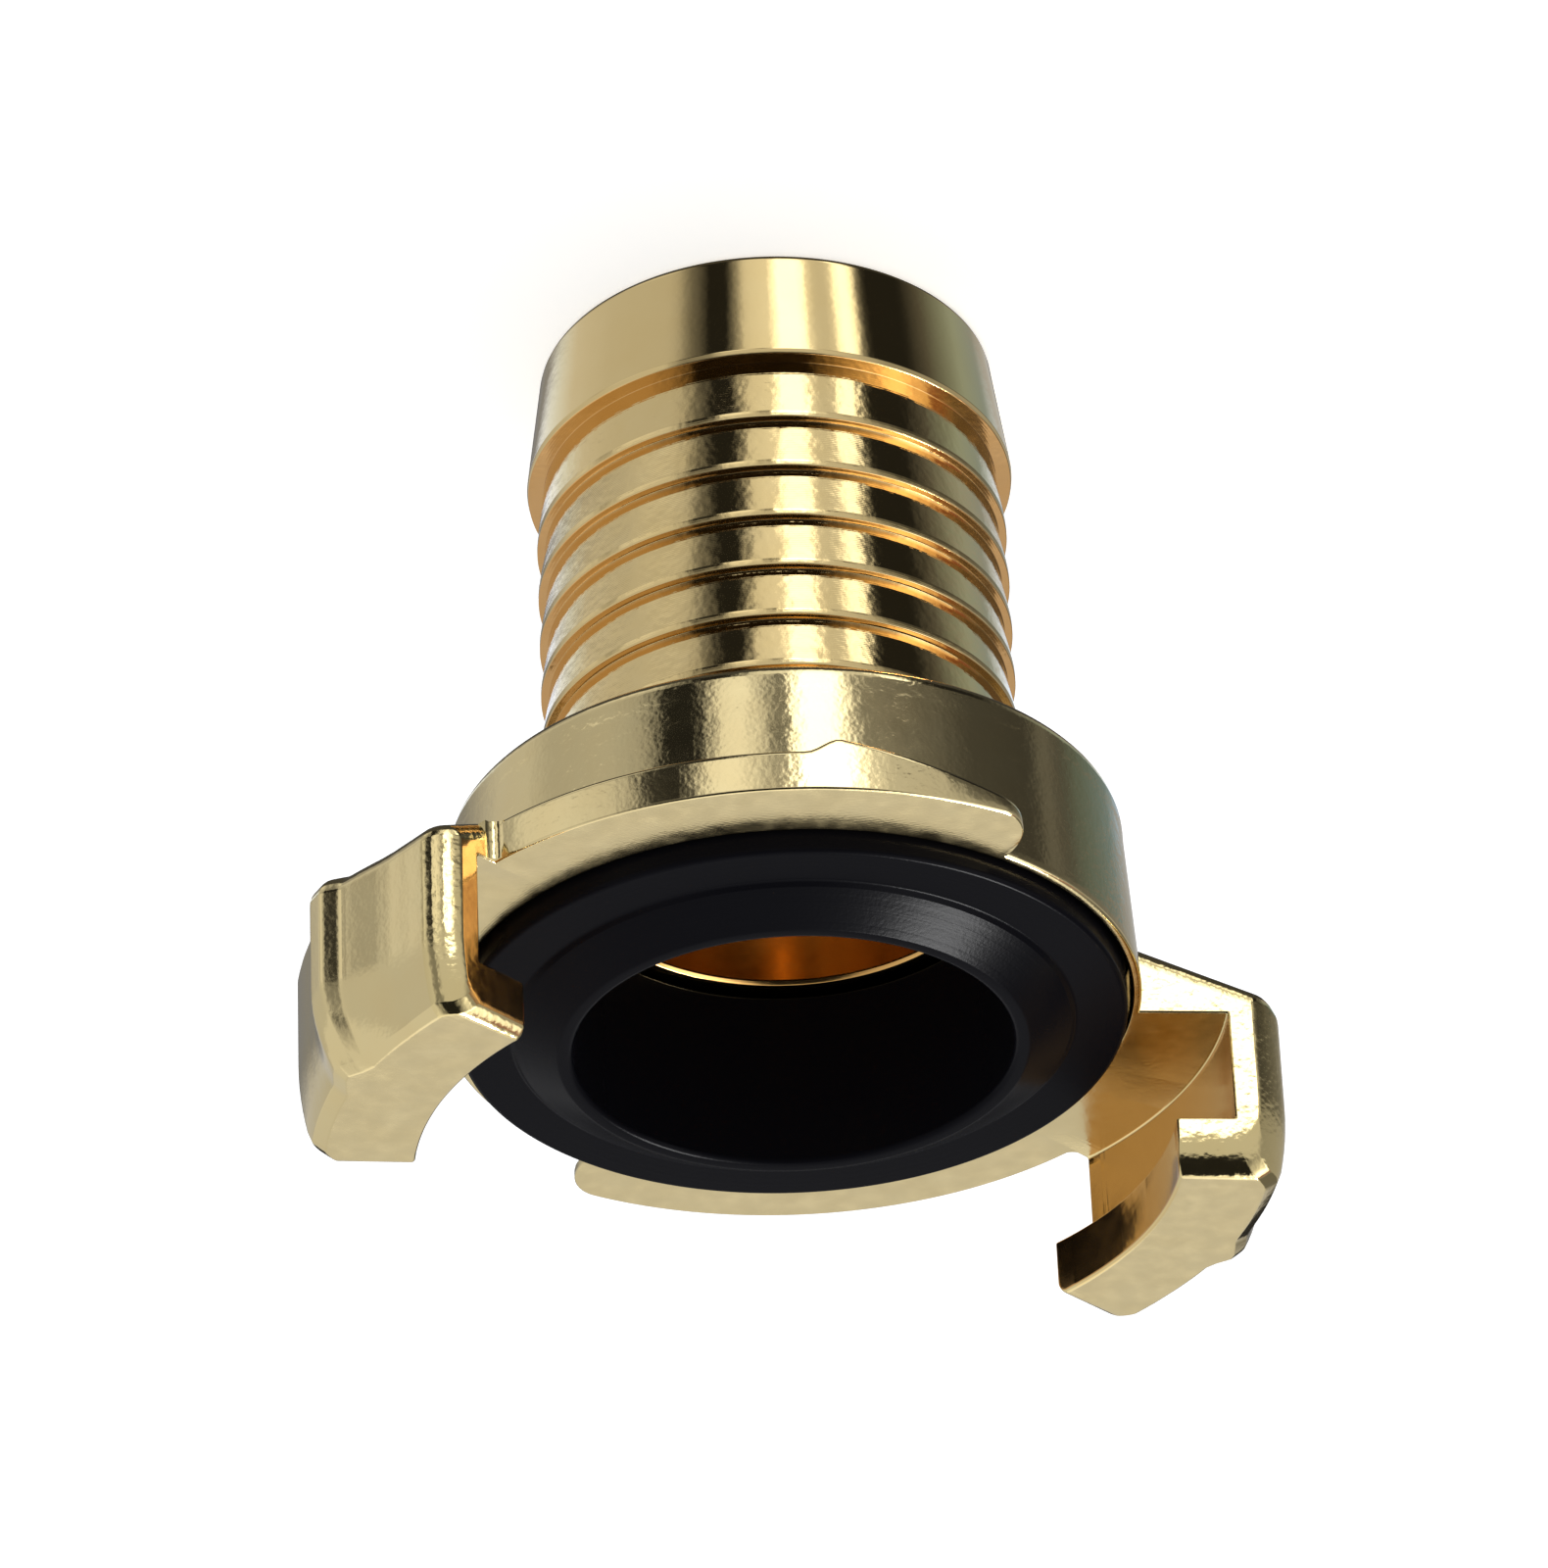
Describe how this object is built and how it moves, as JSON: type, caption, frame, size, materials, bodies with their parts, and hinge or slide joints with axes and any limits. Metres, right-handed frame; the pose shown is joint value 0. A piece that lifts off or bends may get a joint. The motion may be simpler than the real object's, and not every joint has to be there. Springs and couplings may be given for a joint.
{
  "type": "claw hose coupling",
  "caption": "Claw hose coupling with a ridged hose tail, a turned ring that carries hooked claws and ramped collars, and a rubber face seal round a through-bore.",
  "frame": {"origin": "centre of the hose tail's end, on the bore's axis: the part stands on that end, claws up", "axes": "+Z along the bore from the hose tail's end towards the claws; +X along the longest side of the bounding box, which the claws set; +Y along its shortest side"},
  "size_m": [0.0516, 0.0438, 0.0498],
  "materials": {
    "brass": "bright turned tail, satin forged ring and claws",
    "rubber": "satin moulded"
  },
  "bodies": {
    "root": {"coupling_body": "brass", "seal_ring": "rubber"}
  },
  "joints": []
}
